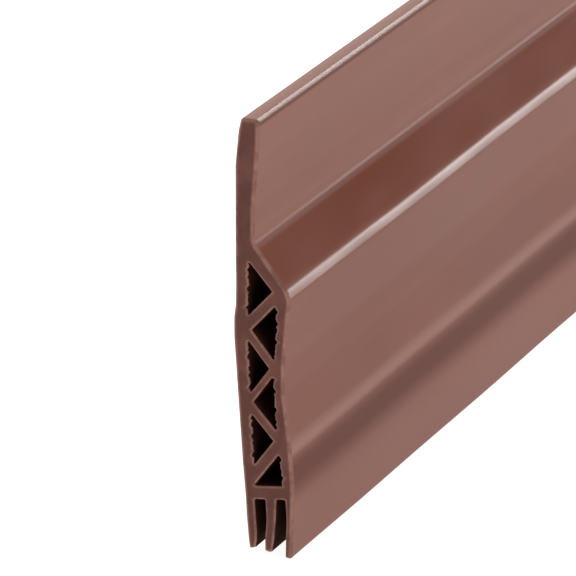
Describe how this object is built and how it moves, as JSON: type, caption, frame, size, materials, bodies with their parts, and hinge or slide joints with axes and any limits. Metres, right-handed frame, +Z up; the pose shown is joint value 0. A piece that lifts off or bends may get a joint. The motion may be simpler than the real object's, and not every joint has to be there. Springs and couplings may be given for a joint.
{
  "type": "door sweep",
  "caption": "Stick-on door sweep: a flexible hollow strip with a flat taped flange, braced cells and wiper fins along its foot.",
  "frame": {"origin": "the middle of the release liner's outer face, where the strip meets the door", "axes": "+X along the strip, +Y towards the door and +Z up, so the wiper fins hang along -Z and the room is on -Y"},
  "size_m": [0.99, 0.0074, 0.05],
  "materials": {
    "profile_rubber": "satin",
    "adhesive": "tacky clear acrylic",
    "tape_foam": "matte foam",
    "liner_paper": "siliconised paper"
  },
  "bodies": {
    "profile": {"mounting_flange": "profile_rubber", "shoulder_wall": "profile_rubber", "front_wall": "profile_rubber", "rear_wall": "profile_rubber", "brace_web_1": "profile_rubber", "brace_web_2": "profile_rubber", "brace_web_3": "profile_rubber", "brace_web_4": "profile_rubber", "brace_web_5": "profile_rubber", "base_bar": "profile_rubber", "tape_adhesive_inner": "adhesive", "tape_carrier": "tape_foam", "tape_adhesive_outer": "adhesive"},
    "rear_fin": {"rear_fin": "profile_rubber"},
    "middle_fin": {"middle_fin": "profile_rubber"},
    "front_fin": {"front_fin": "profile_rubber"},
    "release_liner": {"release_liner": "liner_paper"}
  },
  "joints": [
    {"name": "middle_fin_flex", "type": "hinge", "parent": "profile", "child": "middle_fin", "pos_m": [0, -0.0048, -0.03002], "axis": [1, 0, 0], "range_deg": [-35, 35], "stiffness_Nm_per_rad": 0.3},
    {"name": "rear_fin_flex", "type": "hinge", "parent": "profile", "child": "rear_fin", "pos_m": [0, -0.00229, -0.03033], "axis": [1, 0, 0], "range_deg": [-35, 35], "stiffness_Nm_per_rad": 0.25},
    {"name": "front_fin_flex", "type": "hinge", "parent": "profile", "child": "front_fin", "pos_m": [0, -0.00698, -0.02963], "axis": [1, 0, 0], "range_deg": [-35, 35], "stiffness_Nm_per_rad": 0.1},
    {"name": "liner_lift", "type": "slide", "parent": "profile", "child": "release_liner", "axis": [0, 1, 0], "range_m": [0, 0.03]}
  ],
  "couplings": [
    {"joint": "rear_fin_flex", "follows": "middle_fin_flex", "ratio": 1},
    {"joint": "front_fin_flex", "follows": "middle_fin_flex", "ratio": 1}
  ]
}
